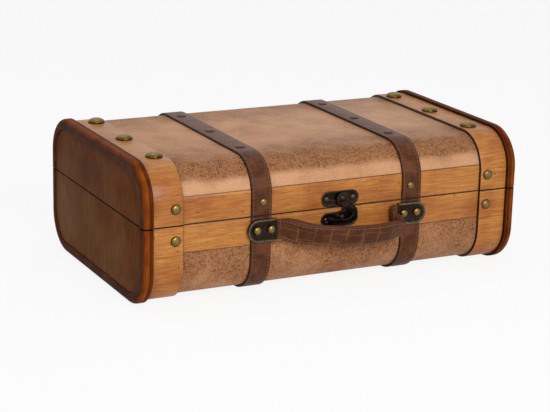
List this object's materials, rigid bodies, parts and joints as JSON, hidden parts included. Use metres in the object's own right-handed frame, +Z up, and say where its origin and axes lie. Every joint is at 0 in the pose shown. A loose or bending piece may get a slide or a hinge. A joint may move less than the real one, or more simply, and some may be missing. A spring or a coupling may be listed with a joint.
{
  "type": "wooden suitcase",
  "caption": "Small rectangular wooden suitcase with rounded edges, end rims, wood bands, leather straps, hinged lid, swing hook latch and bowed leather handle.",
  "frame": {"origin": "middle of the resting plane under the base's end rims, below the middle of the case", "axes": "+X along the case, -Y the front with the latch and handle, +Z up"},
  "size_m": [0.38, 0.2601, 0.1322],
  "materials": {
    "wall_plywood": "matt bent plywood",
    "board_wood": "matt sawn board",
    "lining_cloth": "plain woven cotton",
    "cover_leather": "crackled leather look sheet",
    "honey_wood": "satin varnished wood",
    "rim_wood": "dark stained satin wood",
    "end_skin": "dark worn leather look",
    "strap_leather": "embossed brown leather",
    "brass_nails": "aged brass",
    "bronze_fittings": "antique dark bronze",
    "core_board": "pressed fibre board"
  },
  "bodies": {
    "base": {"base_carcass": "wall_plywood", "base_end_board_left": "board_wood", "base_end_board_right": "board_wood", "base_lining": "lining_cloth", "base_cover": "cover_leather", "base_front_strip": "honey_wood", "base_back_strip": "honey_wood", "base_band_left": "honey_wood", "base_band_right": "honey_wood", "base_rim_left": "rim_wood", "base_rim_right": "rim_wood", "base_end_panel_left": "end_skin", "base_end_panel_right": "end_skin", "base_strap_left": "strap_leather", "base_strap_right": "strap_leather", "base_band_nails": "brass_nails", "base_strap_nails": "bronze_fittings", "base_strap_rivets": "brass_nails", "hinge_base_leaf_left": "bronze_fittings", "hinge_base_leaf_right": "bronze_fittings", "hinge_pin_left": "bronze_fittings", "hinge_pin_right": "bronze_fittings", "hinge_base_screws": "bronze_fittings", "latch_post_plate": "bronze_fittings", "latch_base_screws": "bronze_fittings", "handle_cap_left": "bronze_fittings", "handle_cap_right": "bronze_fittings", "handle_cap_nails": "brass_nails", "handle_end_left": "strap_leather", "handle_end_right": "strap_leather"},
    "lid": {"lid_carcass": "wall_plywood", "lid_end_board_left": "board_wood", "lid_end_board_right": "board_wood", "lid_lining": "lining_cloth", "lid_cover": "cover_leather", "lid_front_strip": "honey_wood", "lid_back_strip": "honey_wood", "lid_band_left": "honey_wood", "lid_band_right": "honey_wood", "lid_rim_left": "rim_wood", "lid_rim_right": "rim_wood", "lid_end_panel_left": "end_skin", "lid_end_panel_right": "end_skin", "lid_strap_left": "strap_leather", "lid_strap_right": "strap_leather", "lid_band_nails": "brass_nails", "lid_top_nails": "brass_nails", "lid_strap_nails": "bronze_fittings", "lid_strap_rivets": "brass_nails", "hinge_lid_leaf_left": "bronze_fittings", "hinge_lid_leaf_right": "bronze_fittings", "hinge_lid_screws": "bronze_fittings", "latch_pivot_plate": "bronze_fittings", "latch_pivot_rivet": "bronze_fittings", "latch_lid_screws": "bronze_fittings"},
    "hook": {"latch_hook": "bronze_fittings"},
    "handle": {"handle_grip": "strap_leather", "handle_core": "core_board"}
  },
  "joints": [
    {"name": "lid_hinge", "type": "hinge", "parent": "base", "child": "lid", "pos_m": [0, 0.1156, 0.0756], "axis": [-1, 0, 0], "range_deg": [0, 180]},
    {"name": "latch_swing", "type": "hinge", "parent": "lid", "child": "hook", "pos_m": [0.0038, -0.1137, 0.0838], "axis": [0, -1, 0], "range_deg": [0, 110]},
    {"name": "handle_flex", "type": "hinge", "parent": "base", "child": "handle", "pos_m": [0, -0.1133, 0.0627], "axis": [-1, 0, 0], "range_deg": [-8, 45], "stiffness_Nm_per_rad": 0.2, "springref_deg": 0.39}
  ]
}
